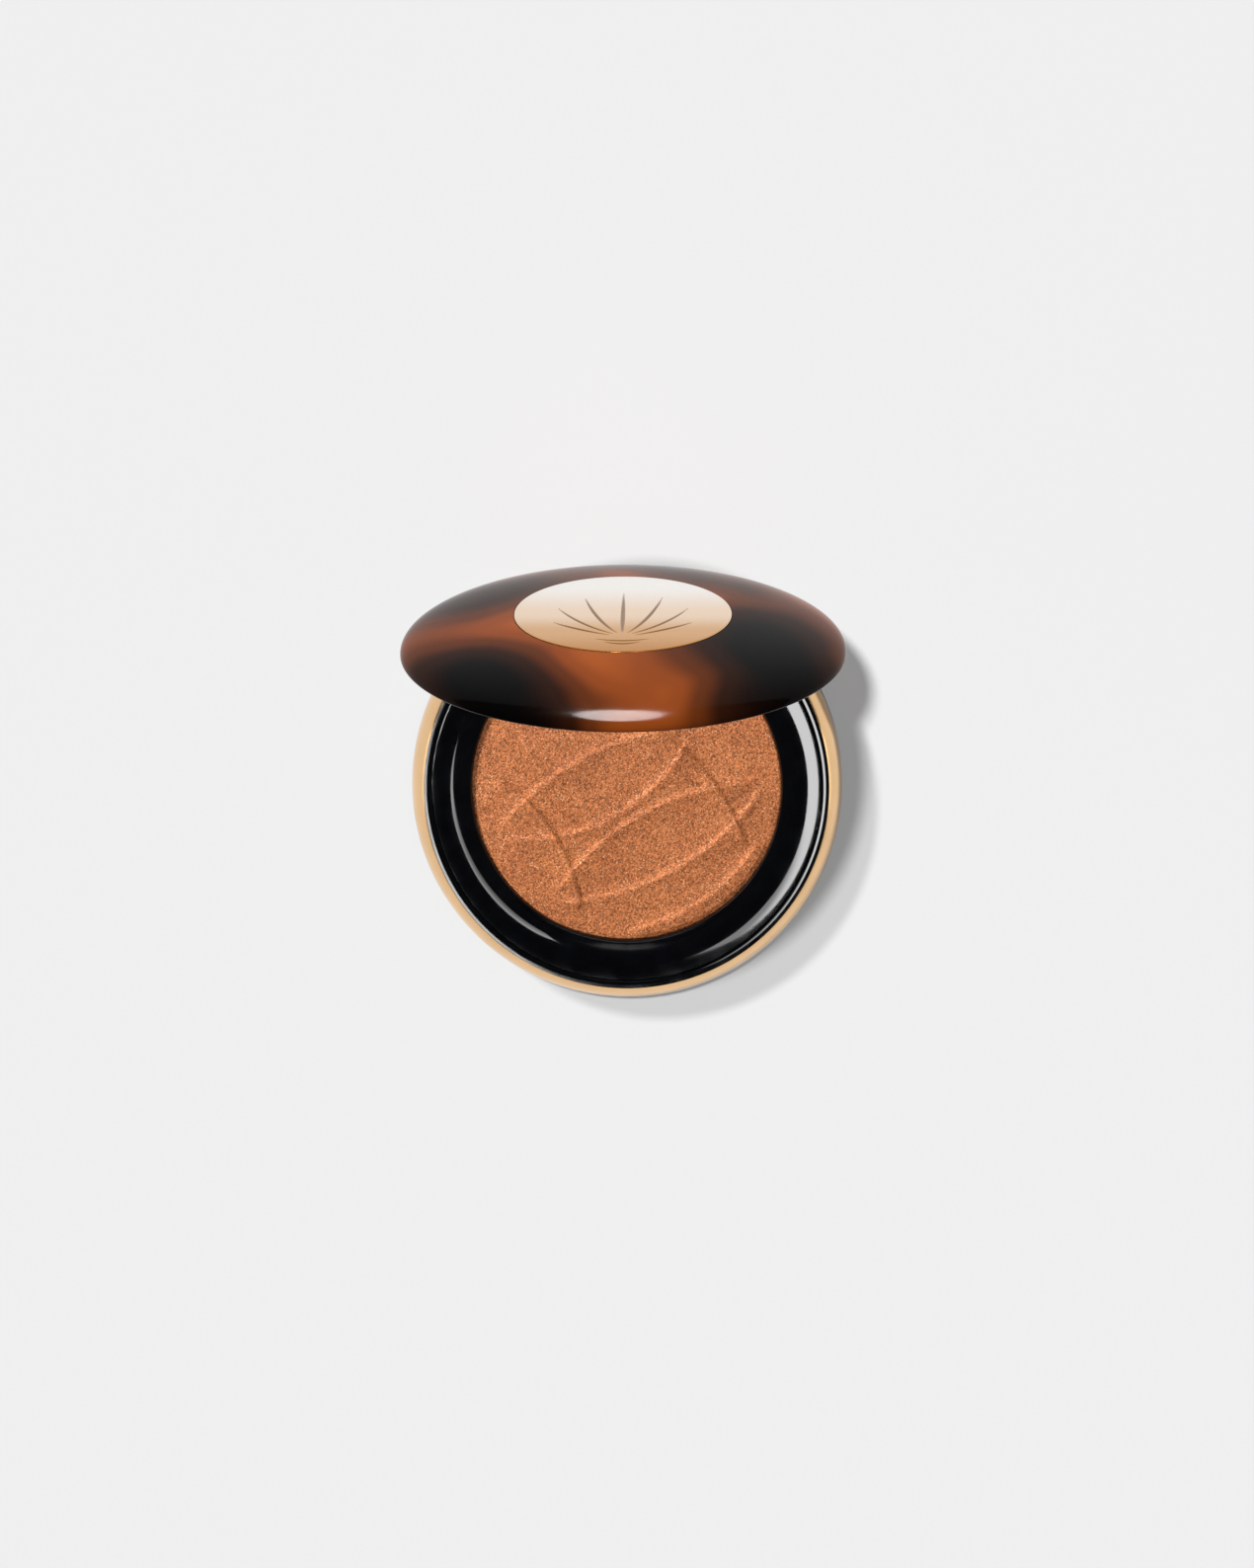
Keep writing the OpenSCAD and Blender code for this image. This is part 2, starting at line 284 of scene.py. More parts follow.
def block(low, high):
    """A box-shaped cutter between two corners, in millimetres."""
    x_pair, y_pair, z_pair = zip(low, high)
    points = [(x, y, z) for x in x_pair for y in y_pair for z in z_pair]
    faces = [(0, 1, 3, 2), (4, 6, 7, 5), (0, 4, 5, 1), (2, 3, 7, 6), (0, 2, 6, 4), (1, 5, 7, 3)]
    return mesh_piece("block", points, faces)


def bar(x0, x1, radius, y, z, chamfer=0.0, steps=64, name="bar"):
    """A round bar along X, in millimetres, with chamfered ends if asked."""
    ends = [(0, x0), (radius - chamfer, x0), (radius, x0 + chamfer)]
    ends += [(radius, x1 - chamfer), (radius - chamfer, x1), (0, x1)]
    if not chamfer:
        ends = [(0, x0), (radius, x0), (radius, x1), (0, x1)]
    made = turned(name, ends, steps)
    lay_down = Matrix.Rotation(math.pi / 2, 4, "Y")
    made.data.transform(Matrix.Translation((0, y * MM, z * MM)) @ lay_down)
    return made


def slab(outline, x0, x1, edge):
    """An outline in the Y-Z plane, pulled out along X, with its two rims rounded."""
    n = len(outline)
    points = [(x, y, z) for x in (x0, x1) for y, z in outline]
    faces = [tuple(range(n)), tuple(range(2 * n - 1, n - 1, -1))]
    faces += [(i, (i + 1) % n, n + (i + 1) % n, n + i) for i in range(n)]
    made = mesh_piece("slab", points, faces)
    bm = bmesh.new()
    bm.from_mesh(made.data)
    rims = [e for e in bm.edges if abs(e.verts[0].co.x - e.verts[1].co.x) < 1e-7]
    bmesh.ops.bevel(bm, geom=rims, offset=edge * MM, segments=5, profile=0.5, affect="EDGES")
    bm.to_mesh(made.data)
    bm.free()
    return made


print("tools ready: block, bar and slab, and mill to use them")

# %% [markdown]
# ## Kitchen of finishes
# Every finish is a small tree of shader nodes. The helpers below make the usual ones: noise that is
# measured in millimetres, a colour ramp, a mix and a bump. All noise is read from the piece's own
# coordinates, so it rides with the piece and stays put when the camera moves.

# %% Helpers for finishes
class Finish:
    """One material and short calls for its nodes."""

    def __init__(self, name, **values):
        self.material = bpy.data.materials.new(name)
        self.material.use_nodes = True
        self.tree = self.material.node_tree
        self.shader = self.tree.nodes["Principled BSDF"]
        for key, value in values.items():
            self.shader.inputs[key.replace("_", " ")].default_value = value
        place = self.tree.nodes.new("ShaderNodeTexCoord")
        self.place = self.vector("MULTIPLY", place.outputs["Object"], (1 / MM,) * 3)

    def put(self, socket, value):
        """Links a socket, or writes a plain value into it."""
        if isinstance(value, bpy.types.NodeSocket):
            self.tree.links.new(value, socket)
        elif value is not None:
            socket.default_value = value

    def vector(self, operation, a, b=None, scale=None):
        node = self.tree.nodes.new("ShaderNodeVectorMath")
        node.operation = operation
        self.put(node.inputs[0], a)
        self.put(node.inputs[1], b)
        self.put(node.inputs[3], scale)
        return node.outputs["Value" if operation in ("LENGTH", "DOT_PRODUCT") else "Vector"]

    def number(self, operation, a, b=None):
        node = self.tree.nodes.new("ShaderNodeMath")
        node.operation = operation
        self.put(node.inputs[0], a)
        self.put(node.inputs[1], b)
        return node.outputs[0]

    def noise(self, per_mm, detail=2.0, roughness=0.5, colour=False):
        node = self.tree.nodes.new("ShaderNodeTexNoise")
        self.put(node.inputs["Vector"], self.place)
        node.inputs["Scale"].default_value = per_mm
        node.inputs["Detail"].default_value = detail
        node.inputs["Roughness"].default_value = roughness
        return node.outputs["Color" if colour else "Fac"]

    def cells(self, per_mm):
        node = self.tree.nodes.new("ShaderNodeTexVoronoi")
        self.put(node.inputs["Vector"], self.place)
        node.inputs["Scale"].default_value = per_mm
        return node.outputs["Color"]

    def spread(self, value, low, high, to_low=0.0, to_high=1.0, smooth=True):
        node = self.tree.nodes.new("ShaderNodeMapRange")
        node.interpolation_type = "SMOOTHSTEP" if smooth else "LINEAR"
        for socket, v in zip(node.inputs[:5], (value, low, high, to_low, to_high)):
            self.put(socket, v)
        return node.outputs["Result"]

    def ramp(self, value, *stops):
        node = self.tree.nodes.new("ShaderNodeValToRGB")
        node.color_ramp.interpolation = "EASE"
        marks = node.color_ramp.elements
        while len(marks) < len(stops):
            marks.new(0.5)
        for mark, (position, colour) in zip(marks, stops):
            mark.position, mark.color = position, (*colour, 1)
        self.put(node.inputs[0], value)
        return node.outputs["Color"]

    def mix(self, factor, a, b, blend="MIX"):
        node = self.tree.nodes.new("ShaderNodeMix")
        node.data_type, node.blend_type = "RGBA", blend
        for socket, v in zip((node.inputs[0], node.inputs[6], node.inputs[7]), (factor, a, b)):
            self.put(socket, (*v, 1) if isinstance(v, tuple) else v)
        return node.outputs[2]

    def bump(self, height, depth_mm, strength=1.0):
        node = self.tree.nodes.new("ShaderNodeBump")
        node.inputs["Strength"].default_value = strength
        node.inputs["Distance"].default_value = depth_mm * MM
        self.put(node.inputs["Height"], height)
        return node.outputs["Normal"]

    def set(self, **sockets):
        for key, value in sockets.items():
            self.put(self.shader.inputs[key.replace("_", " ")], value)
        return self


def wear(piece, finish):
    """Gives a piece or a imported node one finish."""
    piece.data.materials.clear()
    piece.data.materials.append(finish.material)


def belongs(piece, node, finish):
    """Shades a piece, dresses it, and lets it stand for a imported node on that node's body."""
    wear(shaded(piece), finish)
    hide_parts(node)
    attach(piece, frame["nodes"][node]["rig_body"])


print("finishes read", round(1 / MM), "pattern units per metre, so one unit is a millimetre")

# %% [markdown]
# ## Black moulded plastic
# The case and the lid's liner are injection moulded and polished. Such black isn't a flat colour: its
# gloss varies a little where hands have been, and the skin has a faint swell from the mould. The colour
# stays very dark, and slow noise moves the roughness and the bump.

# %% Case black and tray black
def moulded_black(name, colour, gloss):
    made = Finish(name, IOR=1.46)
    haze = made.noise(0.25, 3.0)
    made.set(
        Base_Color=made.ramp(haze, (0.35, colour), (0.65, tuple(1.5 * c for c in colour))),
        Roughness=made.spread(haze, 0.3, 0.7, gloss, gloss * 1.6),
        Normal=made.bump(made.noise(0.6, 1.0), 0.002, 0.2),
    )
    return made


case_black = moulded_black("case_black", (0.0030, 0.0033, 0.0042), 0.035)
tray_black = moulded_black("tray_black", (0.0014, 0.0016, 0.0022), 0.04)
print("black finishes ready")

# %% [markdown]
# ## The base
# The lower case is one moulding: a shallow bowl with a flat foot, a black lip round the tray, a ring
# inside that centres the pan, and two ears that carry the hinge pin. The bowl is turned, the ears are
# pulled out from their side outline, and all of it is milled into one solid.
#
# The lip's top is nearly flat, with a very large bow that leans it inwards. A bow that large can't be
# felt, but it decides which lamp the lip mirrors.

# %% The base's bowl
lip_crest_r, lip_bow, lip_sink, lip_from, lip_to = 36.15, 5.2, 0.0035, 90.8, 96.3
lip_chamfer, edge_round = 0.3, 0.08
ring_out_r, ring_in_r, ring_top = 30.25, 29.1, 4.0
ledge_z = band_bottom + 0.02
bowl = [(0, label_t), (label_r, label_t), (label_r, 0, edge_round), (foot_r - 0.2, 0)]
bowl += arc(foot_r, band_bottom, case_r - foot_r, band_bottom, -90, -1, 32)
bowl += [(case_r, ledge_z, 0.05), (band_in_r, ledge_z), (band_in_r, base_h)]
bowl += arc(lip_crest_r, base_h - lip_bow - lip_sink, lip_bow, lip_bow, lip_from, lip_to, 12)
bowl += [(lip_in_r, base_h - lip_chamfer, edge_round), (lip_in_r, floor_t)]
bowl += [(ring_out_r, floor_t), (ring_out_r, ring_top), (ring_in_r, ring_top)]
bowl += [(ring_in_r, floor_t), (0, floor_t)]
base_case = turned("base_case", section(bowl))
print("bowl outline", len(section(bowl)), "points")

# %% The base's ears
ear_round, root_sink = 0.12, 0.05


def ear_outline():
    """Side outline of an ear, as points in Y and Z. Its root sinks just below the lip's top."""
    root, back, low = lip_in_r + 0.15, hinge_y + 0.9, notch_z + 0.1
    under = math.degrees(math.acos((back - hinge_y) / knuckle_r))
    front = 180 + math.degrees(math.asin((hinge_z - base_h) / knuckle_r))
    barrel = arc(hinge_y, hinge_z, knuckle_r, knuckle_r, -under, front, 40)
    return [(root, low), (back, low)] + barrel + [(root, base_h - root_sink)]


for side in (-1, 1):
    low, high = sorted((side * ear_in, side * ear_out))
    mill(base_case, slab(ear_outline(), low, high, ear_round), "UNION")
mill(base_case, bar(-ear_out - 1, ear_out + 1, pin_r, hinge_y, hinge_z))
belongs(base_case, "base_shell", case_black)

# %% [markdown]
# ## Gold for the rim band
# The band is plastic with a thin coat of metal, put on in a vacuum chamber, so it shines like polished
# gold but keeps a slight softness. A fully metallic shader does this. Slow noise moves its roughness,
# and a faint, long swell keeps the reflections from being perfectly even.

# %% Rim gold
def polished_gold(name, colour, gloss, swell_mm):
    made = Finish(name, Metallic=1.0)
    cloud = made.noise(0.12, 3.0)
    made.set(
        Base_Color=made.ramp(cloud, (0.3, colour), (0.7, tuple(0.95 * c for c in colour))),
        Roughness=made.spread(cloud, 0.3, 0.7, gloss, gloss * 1.5),
        Normal=made.bump(made.noise(0.35, 1.0), swell_mm, 0.4),
    )
    return made


rim_gold = polished_gold("rim_gold", (0.89, 0.575, 0.30), 0.16, 0.004)
print("rim gold ready")

# %% The rim band
band_sweep = 58
flat_top = 0.1
sweep = math.radians(band_sweep)
face_rr = (case_r - band_in_r - flat_top) / (1 - math.cos(sweep))
face_rz = (band_top - band_bottom) / math.sin(sweep)
ring = [(band_in_r, band_bottom)]
ring += arc(case_r - face_rr, band_bottom, face_rr, face_rz, 0, band_sweep, 40)
ring += [(band_in_r, band_top)]
rim_band = turned("rim_band_gold", ring)
mill(rim_band, block((-notch_half, 10, notch_z), (notch_half, 2 * case_r, 2 * base_h)))
belongs(rim_band, "rim_band", rim_gold)

# %% [markdown]
# ## The tray ring
# A glossy black ring drops into the case and holds the pan down. From its outer edge it falls towards
# the powder in one long rounded shoulder, slowly at first and then steeply. That shoulder is what
# mirrors the lights as two crescents, so it gets many more steps than the rest.

# %% The tray ring
tray_r, powder_r, crest_z, edge_z = 35.05, 27.95, 9.45, 7.35
shoulder_w, shoulder_drop, shoulder_end, edge_r = 7.6, 2.1, 94.1, 0.05
channel_in_r, channel_out_r, channel_z = 30.25, 33.9, 7.8
clamp_z, seat_r, skirt_z = 6.65, 29.1, 4.1
tray = [(powder_r, clamp_z, 0.1)]
tray += arc(powder_r + shoulder_w, edge_z, shoulder_w, shoulder_drop, 180, shoulder_end, 80)
tray += [(tray_r, crest_z, edge_r), (tray_r, floor_t)]
tray += [(channel_out_r, floor_t), (channel_out_r, channel_z), (channel_in_r, channel_z)]
tray += [(channel_in_r, skirt_z), (seat_r, skirt_z), (seat_r, clamp_z)]
tray_ring = turned("tray_ring", section(tray))
belongs(tray_ring, "tray_frame", tray_black)

# %% [markdown]
# ## Pressed powder
# The powder is pressed into its pan with an embossed die. The relief here is a set of long arcs that
# cross and leave lens shapes between them. Each arc is a low step: steep on one side, and fading away
# on the other, as overlapping layers do.
#
# A relief like this could be a bump in the material, but a real die moves the powder itself. So the
# face is a fine polar grid, and each point is lifted by the arcs that pass near it.

# %% Arcs of the relief
# Each arc runs through three points. The last number says which side of it is raised: 1 for the side of
# its centre, -1 for the other side.
relief_arcs = [
    ((-24, -9), (-9, 5), (12, 11), 1),
    ((-24, -9), (-4, -6), (12, 11), -1),
    ((-14, -21), (4, -4), (25, 1), 1),
    ((-14, -21), (10, -14), (25, 1), -1),
    ((-25, 3), (-14, -7), (-8, -24), 1),
    ((3, 12), (15, 2), (22, -12), 1),
    ((0, -26), (13, -21), (24, -9), -1),
    ((-19, 10), (-14, -2), (-2, -10), 1),
    ((-20, 18), (-6, 22), (12, 21), 1),
]
relief_mm = 0.6
crisp_mm = 0.7
fade_mm = 5.0
tail_share = 0.22
step_share = 0.85


def circle_through(p, q, r):
    """Centre and radius of the circle through three points."""
    a = np.array([[q[0] - p[0], q[1] - p[1]], [r[0] - p[0], r[1] - p[1]]], float) * 2
    p_square, q_square, r_square = (v[0] ** 2 + v[1] ** 2 for v in (p, q, r))
    c = np.linalg.solve(a, [q_square - p_square, r_square - p_square])
    return c, float(np.hypot(p[0] - c[0], p[1] - c[1]))


def turn_from(direction, x, y):
    """Angle of a place, counted from a direction, between minus and plus half a turn."""
    return (np.arctan2(y, x) - direction + math.pi) % (2 * math.pi) - math.pi


def step_height(x, y, arc_points):
    """Height that one arc adds at each place: a step and a small ridge, which die out at its ends."""
    start, middle, end, raised = arc_points
    c, radius = circle_through(start, middle, end)
    towards = math.atan2(middle[1] - c[1], middle[0] - c[0])
    turn = turn_from(towards, x - c[0], y - c[1])
    reach = [turn_from(towards, v[0] - c[0], v[1] - c[1]) for v in (start, end)]
    share = np.where(turn < 0, turn / min(reach), turn / max(reach))
    alive = np.clip((1 - share) / tail_share, 0, 1)
    alive = alive * alive * (3 - 2 * alive)
    inside = raised * (radius - np.hypot(x - c[0], y - c[1]))
    steep = 1 / (1 + np.exp(-inside / (crisp_mm / 4)))
    fading = np.exp(-np.clip(inside, 0, None) / fade_mm)
    ridge = np.exp(-np.square(inside / crisp_mm) / 2)
    return alive * (step_share * steep * fading + (1 - step_share) * ridge)


def relief(x, y):
    """Height of all the arcs together."""
    return sum(step_height(x, y, arc_points) for arc_points in relief_arcs)


print("relief arcs", len(relief_arcs))

# %% The powder's face
cake_r, cake_edge_z, crown = 27.8, 7.0, 0.3
cake_bottom, pan_in_r, pan_rim = 3.35, 28.6, 6.45
calm_rim = 0.8
rings, spokes = 134, 720
radius = cake_r * np.linspace(0, 1, rings + 1)[1:]
angle = np.linspace(0, 2 * math.pi, spokes, endpoint=False)
rr, aa = np.meshgrid(radius, angle, indexing="ij")
x, y = rr * np.cos(aa), rr * np.sin(aa)
lift = relief(x, y)
rim_fade = np.clip((cake_r - rr) / calm_rim, 0, 1)
dome = crown * np.sqrt(np.clip(1 - (rr / cake_r) ** 2, 0, 1))
z = cake_edge_z + dome + relief_mm * lift * rim_fade
centre_lift = float(relief(np.zeros(1), np.zeros(1))[0])
points = [(0, 0, cake_edge_z + crown + relief_mm * centre_lift)]
points += list(zip(x.ravel(), y.ravel(), z.ravel()))
for r, level in ((cake_r, pan_rim), (pan_in_r, pan_rim), (pan_in_r, cake_bottom)):
    points += [(r * math.cos(a), r * math.sin(a), level) for a in angle]
points.append((0, 0, cake_bottom))
faces = [(0, 1 + k, 1 + (k + 1) % spokes) for k in range(spokes)]
for i in range(rings + 2):
    here, out = 1 + i * spokes, 1 + (i + 1) * spokes
    for k in range(spokes):
        after = (k + 1) % spokes
        faces.append((here + k, here + after, out + after, out + k))
last = 1 + (rings + 2) * spokes
faces += [(last + k, last + (k + 1) % spokes, len(points) - 1) for k in range(spokes)]
powder_cake = mesh_piece("powder_pressed", points, faces)
lowest, highest = (round(float(v) * relief_mm, 3) for v in (lift.min(), lift.max()))
print("relief from", lowest, "to", highest, "mm")

# %% [markdown]
# ## Bronze powder that shimmers
# Pearl powder is a matte body with tiny flakes in it that each mirror their own way. Close up it looks
# like sand with sparks. Three layers of detail do it: grains about a quarter of a millimetre across,
# which tilt the surface, a cell pattern that gives each grain its own tone, and a scatter of bright,
# half metallic flakes. A slow drift of tone over the whole pan keeps it from looking printed.

# %% Bronze powder
bronze_powder = Finish("bronze_powder", IOR=1.4)
b = bronze_powder
grain = b.noise(4.2, 3.0, 0.6)
drift = b.noise(0.12, 3.0)
body = b.ramp(drift, (0.3, (0.39, 0.117, 0.034)), (0.7, (0.46, 0.146, 0.044)))
tone = b.ramp(b.cells(4.9), (0.05, (0.36, 0.32, 0.30)), (0.95, (1.68, 1.75, 1.82)))
toned = b.mix(1.0, body, tone, "MULTIPLY")
sparks = b.spread(b.cells(6.2), 0.80, 0.92)
b.set(
    Base_Color=b.mix(sparks, toned, (0.92, 0.52, 0.27)),
    Metallic=b.spread(sparks, 0.0, 1.0, 0.15, 0.8),
    Roughness=b.spread(grain, 0.3, 0.7, 0.42, 0.62),
    Normal=b.bump(grain, 0.15, 1.0),
)
belongs(powder_cake, "powder_cake", bronze_powder)

# %% [markdown]
# ## The lid's own bench
# The lid is made lying flat, with its widest level at height zero, and is then swung up on the hinge as
# one. Its pieces keep their points in the lid's own coordinates, so patterns painted in millimetres stay
# square to the lid, whatever way it stands.

# %% Placing the lid's pieces
lid_rise = 0.5
open_turn = Matrix.Rotation(-math.radians(open_angle), 4, "X")
to_hinge = Matrix.Translation((0, hinge_y * MM, hinge_z * MM))
lid_place = to_hinge @ open_turn @ Matrix.Translation((0, -hinge_y * MM, lid_rise * MM))


def on_lid(piece, node, finish):
    """Swings a lid piece up on the hinge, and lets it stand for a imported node."""
    piece.matrix_world = lid_place
    bpy.context.view_layer.update()
    belongs(piece, node, finish)


print("the lid stands", open_angle, "degrees open")

# %% [markdown]
# ## The lid's dome
# The dome is half of a flat ellipse, with a thin rounded lower edge, a vault inside for the mirror's
# frame, and a round seat for the medallion. After the lathe come three cuts for the hinge.

# %% The lid's dome
dome_h, wall, drop, drop_w, lid_seat_r = 7.8, 1.8, 0.6, 1.6, 36.4
seat_low, seat_wall_r, seat_edge, ceiling = 5.93, 19.1, 0.08, 4.83
knuckle_gap, back_trim, arm_half, arm_gap, below_lid = 0.25, 0.45, 4.2, 0.1, -3


def dome_height(r):
    return dome_h * math.sqrt(1 - (r / case_r) ** 2)


def dome_turn(r):
    """The dome's angle on its ellipse at a radius."""
    return math.degrees(math.acos(r / case_r))


vault_h, vault_r = dome_h - wall, case_r - wall
shell = [(lid_seat_r, -drop, 0.12)]
shell += arc(case_r - drop_w, 0, drop_w, drop, -90, -1, 16)
shell += arc(0, 0, case_r, dome_h, 0, dome_turn(seat_wall_r + 0.12), 96)
shell += [(seat_wall_r, dome_height(seat_wall_r), seat_edge)]
shell += [(seat_wall_r, seat_low), (0, seat_low), (0, ceiling)]
vault_from = math.degrees(math.asin(ceiling / vault_h))
vault_to = math.degrees(math.acos(lid_seat_r / vault_r))
shell += arc(0, 0, vault_r, vault_h, vault_from, vault_to, 40)
lid_dome = turned("lid_dome", section(shell), 480)
arm_top = knuckle_r - lid_rise + arm_gap
far_back = 2 * case_r
mill(lid_dome, bar(-notch_half, notch_half, knuckle_r + knuckle_gap, hinge_y, -lid_rise))
back_low, back_high = (-notch_half, hinge_y + back_trim, below_lid), (notch_half, far_back, dome_h)
mill(lid_dome, block(back_low, back_high))
mill(lid_dome, block((-arm_half, lip_in_r, below_lid), (arm_half, far_back, arm_top)))
print("dome height at the medallion's edge", round(dome_height(seat_wall_r), 2))

# %% [markdown]
# ## Tortoiseshell
# Cast acetate in imitation of tortoiseshell has a clear amber body with dark brown clouds in it, whose
# edges are soft because they lie at different depths. Each cloud here is a soft oval, placed on the
# lid, and slow noise bends all of them so that no oval is left to see. A ramp turns the depth of
# cloud into colour, from amber through chestnut to nearly black.

# %% Tortoiseshell
tortoise = Finish("tortoiseshell", IOR=1.12)
t = tortoise
# Middle of each cloud, its half length and half width, its turn in degrees, and its depth
clouds = [
    (-24, -24, 25, 12, -42, 1.0),
    (-19, -35, 11, 5, -22, 0.9),
    (27, -14, 25, 18, -70, 1.0),
    (22, -32, 16, 7, 36, 0.8),
    (17, 22, 20, 9, -35, 0.6),
    (-23, 14, 21, 14, 38, 0.75),
    (0, 32, 16, 7, 0, 0.5),
]
wander = t.vector("SUBTRACT", t.noise(0.04, 0.0, colour=True), (0.5, 0.5, 0.5))
bent = t.vector("ADD", t.place, t.vector("SCALE", wander, scale=8.0))
depth = None
for cx, cy, long, short, turn, dark in clouds:
    offset = t.vector("SUBTRACT", bent, (cx, cy, 0))
    a = math.radians(turn)
    along = t.vector("DOT_PRODUCT", offset, (math.cos(a) / long, math.sin(a) / long, 0))
    across = t.vector("DOT_PRODUCT", offset, (-math.sin(a) / short, math.cos(a) / short, 0))
    along, across = (t.number("POWER", v, 2.0) for v in (along, across))
    away = t.number("SQRT", t.number("ADD", along, across))
    cloud = t.spread(away, 1.5, 0.2, 0.0, dark)
    clear = t.number("SUBTRACT", 1.0, cloud)
    depth = clear if depth is None else t.number("MULTIPLY", depth, clear)
veil = t.spread(t.noise(0.05, 1.0), 0.3, 0.75, 0.95, 0.66)
depth = t.number("SUBTRACT", 1.0, t.number("MULTIPLY", depth, veil))
t.set(
    Base_Color=t.ramp(
        depth,
        (0.0, (0.33, 0.072, 0.010)),
        (0.3, (0.22, 0.046, 0.007)),
        (0.55, (0.09, 0.020, 0.004)),
        (0.8, (0.018, 0.005, 0.002)),
        (1.0, (0.001, 0.001, 0.001)),
    ),
    Roughness=t.spread(t.noise(0.2, 2.0), 0.3, 0.7, 0.11, 0.15),
    Normal=t.bump(t.noise(0.3, 1.0), 0.006, 0.25),
)
on_lid(lid_dome, "lid_shell", tortoise)

# %% [markdown]
# ## The medallion
# A thin gold disc sits in the lid, polished flat, with a fine raised rim and an engraved fan of strokes.
# Engraving removes metal with a round tool that dives in and comes out again, so each stroke is thin at
# both ends. Each groove is made that way: a round bar along a curve, which grows and shrinks, milled out.

# %% The medallion's disc
medal_r, medal_face, medal_t, medal_edge = 19.0, 6.98, 0.9, 0.2
rim_w, rim_slope, rim_h = 0.45, 0.15, 0.06
field_z = medal_face - rim_h
disc = [(0, medal_face - medal_t), (medal_r, medal_face - medal_t, 0.08)]
disc += arc(medal_r - medal_edge, medal_face - medal_edge, medal_edge, medal_edge, 0, 90, 10)
disc += [(medal_r - rim_w, medal_face), (medal_r - rim_w - rim_slope, field_z), (0, field_z)]
medallion = turned("medallion_disc", section(disc))
print("medallion", 2 * medal_r, "mm across, rim", rim_h, "mm proud")

# %% Engraved strokes
def groove(start, bend, end, wide, deep, steps=26, sides=14):
    """Cutter for one stroke: a round bar along a curve through the plane of the face."""
    line = []
    for i in range(steps + 1):
        s = i / steps
        x, y = ((1 - s) ** 2 * p + 2 * s * (1 - s) * q + s * s * r for p, q, r in zip(start, bend, end))
        line.append((x, y, max(0.12, math.sin(math.pi * (0.06 + 0.88 * s)) ** 0.6)))
    points, faces = [], []
    for i, (x, y, swell) in enumerate(line):
        before, after = line[max(0, i - 1)], line[min(steps, i + 1)]
        dx, dy = after[0] - before[0], after[1] - before[1]
        size = math.hypot(dx, dy)
        w, d = wide * swell, deep * swell
        tool_r = (w * w / 4 + d * d) / (2 * d)
        for k in range(sides):
            a = 2 * math.pi * k / sides
            out, up = tool_r * math.cos(a), tool_r * math.sin(a) + tool_r - d
            points.append((x - dy / size * out, y + dx / size * out, field_z + up))
    for i in range(steps):
        for k in range(sides):
            a, b = i * sides + k, i * sides + (k + 1) % sides
            faces.append((a, b, b + sides, a + sides))
    faces += [tuple(range(sides)), tuple(steps * sides + k for k in range(sides - 1, -1, -1))]
    return points, faces


fan_foot_y, foot_gap, first_lean, lean_step = -12, 2.6, 150, 20
fan = []
for i, tall in enumerate((15.0, 19.0, 21.5, 22.5, 21.5, 19.0, 15.0)):
    lean = math.radians(first_lean - lean_step * i)
    side, rise = math.cos(lean), math.sin(lean)
    foot = (foot_gap * side, fan_foot_y + foot_gap * rise)
    tip = (tall * 0.92 * side, fan_foot_y + tall * rise)
    belly = (tall * 0.62 * side, fan_foot_y + tall * 0.34 * rise + 1.5)
    fan.append((foot, belly, tip, 0.8, 0.22))
for y, half in ((-13.4, 4.6), (-14.9, 3.0)):
    fan.append(((-half, y + 0.8), (0, y - 1.0), (half, y + 0.8), 0.7, 0.2))
points, faces = [], []
for stroke in fan:
    more, sides = groove(*stroke)
    faces += [tuple(len(points) + i for i in face) for face in sides]
    points += more
mill(medallion, mesh_piece("strokes", points, faces))
print("strokes", len(fan))

# %% [markdown]
# ## Rose gold
# Polished metal mirrors what is round it and tints it. The disc's warm fade is a painted reflection: its
# colour is painted paler towards the hinge and deeper gold towards the free edge, as a ramp across the
# disc's own Y.
# The grooves get a painted shade, a darker colour that follows the depth below the face, so the strokes
# read from every side.

# %% Medallion gold
medal_gold = Finish("medallion_gold", Metallic=1.0)
m = medal_gold
across = m.vector("DOT_PRODUCT", m.place, (0.0, 1.0, 0.0))
fade = m.spread(across, -medal_r, 14.0, smooth=False)
below = m.vector("DOT_PRODUCT", m.place, (0.0, 0.0, 1.0))
# Painted shade: the colour is darker below the face, inside the grooves.
groove_shade = m.spread(below, medal_face - 0.22, medal_face - 0.075, 0.85, 0.0)
# Painted reflection: the colour is paler towards the hinge and deeper gold towards the free edge, across
# the disc's Y.
painted_sheen = m.ramp(
    fade,
    (0.0, (0.60, 0.25, 0.055)),
    (0.3, (0.73, 0.41, 0.18)),
    (0.58, (0.93, 0.72, 0.54)),
    (1.0, (1.0, 0.97, 0.93)),
)
m.set(
    Base_Color=m.mix(groove_shade, painted_sheen, (0.20, 0.09, 0.03)),
    Roughness=m.spread(m.noise(0.15, 3.0), 0.3, 0.7, 0.14, 0.2),
    Normal=m.bump(m.noise(0.2, 1.0), 0.003, 0.3),
)
on_lid(medallion, "medallion", medal_gold)

# %% [markdown]
# ## The lid's liner, mirror and pin
# Inside the lid sits a black liner, which frames the mirror and carries the hinge's middle knuckle on a
# short arm. The mirror is a glass disc with a narrow ground bevel. The pin is plain polished steel.

